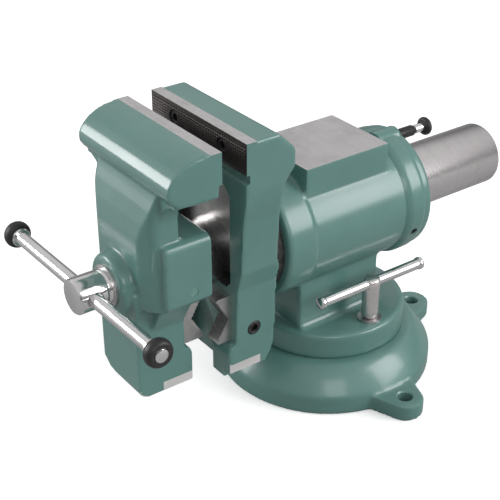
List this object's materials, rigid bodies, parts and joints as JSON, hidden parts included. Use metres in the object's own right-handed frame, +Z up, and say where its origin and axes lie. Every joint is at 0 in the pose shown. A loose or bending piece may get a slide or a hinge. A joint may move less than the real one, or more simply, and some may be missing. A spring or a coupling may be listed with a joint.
{
  "type": "bench vise",
  "caption": "Revolving bench vise: steel guide tube, jaws that turn about the screw axis, pipe jaws, anvil, and a swivel base with T-bar locks and bolt lugs.",
  "frame": {"origin": "centre of the swivel base on the bench plane", "axes": "+Z up, +Y along the screw axis from the handle towards the tail of the guide tube, +X to the operator's right"},
  "size_m": [0.276, 0.483, 0.2955],
  "materials": {
    "green_enamel": "grey-green gloss enamel on cast iron, ground bare at the anvil and the lower jaw edges",
    "ground_steel": "ground steel tube",
    "machined_steel": "machined steel",
    "bright_plate": "bright nickel plate",
    "black_oxide": "black oxide steel; the tops of the jaw inserts ground bare",
    "black_rubber": "moulded rubber",
    "bronze": "cast bronze"
  },
  "bodies": {
    "base": {"base_casting": "green_enamel"},
    "swivel_body": {"swivel_body": "green_enamel", "clamp_ring": "machined_steel", "lock_washers": "machined_steel", "thrust_ring": "machined_steel"},
    "right_lock": {"right_lock_screw": "bright_plate"},
    "right_bar": {"right_lock_bar": "bright_plate"},
    "left_lock": {"left_lock_screw": "bright_plate"},
    "left_bar": {"left_lock_bar": "bright_plate"},
    "head": {"fixed_jaw": "green_enamel", "rear_collar": "green_enamel", "collar_set_screws": "black_oxide", "plunger_sleeve": "black_oxide", "plunger_spring": "machined_steel", "main_nut": "bronze", "nut_dowels": "machined_steel", "fixed_insert": "black_oxide", "fixed_insert_screws": "black_oxide", "fixed_pipe_jaw": "machined_steel", "fixed_pipe_jaw_screws": "black_oxide"},
    "plunger": {"plunger_pin": "bright_plate", "plunger_knob": "black_rubber"},
    "movable_jaw": {"movable_jaw": "green_enamel", "guide_tube": "ground_steel", "tube_pins": "machined_steel", "movable_insert": "black_oxide", "movable_insert_screws": "black_oxide", "movable_pipe_jaw": "machined_steel", "movable_pipe_jaw_screws": "black_oxide", "tube_end_bush": "machined_steel"},
    "main_screw": {"main_screw": "bright_plate", "thrust_washer": "machined_steel", "retaining_collar": "machined_steel", "collar_pin": "machined_steel"},
    "handle": {"handle_rod": "bright_plate", "handle_caps": "black_rubber"}
  },
  "joints": [
    {"name": "base_swivel", "type": "hinge", "parent": "base", "child": "swivel_body", "pos_m": [0, 0, 0], "axis": [0, 0, 1], "continuous": true},
    {"name": "head_turn", "type": "hinge", "parent": "swivel_body", "child": "head", "pos_m": [0, 0, 0.166], "axis": [0, 1, 0], "continuous": true},
    {"name": "plunger_pull", "type": "slide", "parent": "head", "child": "plunger", "axis": [0, 1, 0], "range_m": [0, 0.01], "stiffness_N_per_m": 400, "springref_m": -0.006, "deforming": ["plunger_spring"]},
    {"name": "jaw_slide", "type": "slide", "parent": "head", "child": "movable_jaw", "axis": [0, 1, 0], "range_m": [-0.1045, 0.0224]},
    {"name": "screw_turn", "type": "hinge", "parent": "movable_jaw", "child": "main_screw", "pos_m": [0, 0, 0.166], "axis": [0, 1, 0], "range_deg": [-7520, 1612]},
    {"name": "handle_slide", "type": "slide", "parent": "main_screw", "child": "handle", "axis": [0.9998, 0, 0.0175], "range_m": [-0.085, 0.101]},
    {"name": "right_lock_turn", "type": "hinge", "parent": "swivel_body", "child": "right_lock", "pos_m": [0.06, 0.005, 0.07], "axis": [0, 0, 1], "range_deg": [-14, 10]},
    {"name": "right_bar_slide", "type": "slide", "parent": "right_lock", "child": "right_bar", "axis": [0, 1, 0], "range_m": [-0.035, 0.035]},
    {"name": "left_lock_turn", "type": "hinge", "parent": "swivel_body", "child": "left_lock", "pos_m": [-0.06, 0.005, 0.07], "axis": [0, 0, 1], "range_deg": [-10, 14]},
    {"name": "left_bar_slide", "type": "slide", "parent": "left_lock", "child": "left_bar", "axis": [0, 1, 0], "range_m": [-0.035, 0.035]}
  ],
  "couplings": [
    {"joint": "jaw_slide", "follows": "screw_turn", "m_per_rad": 0.00079577}
  ]
}
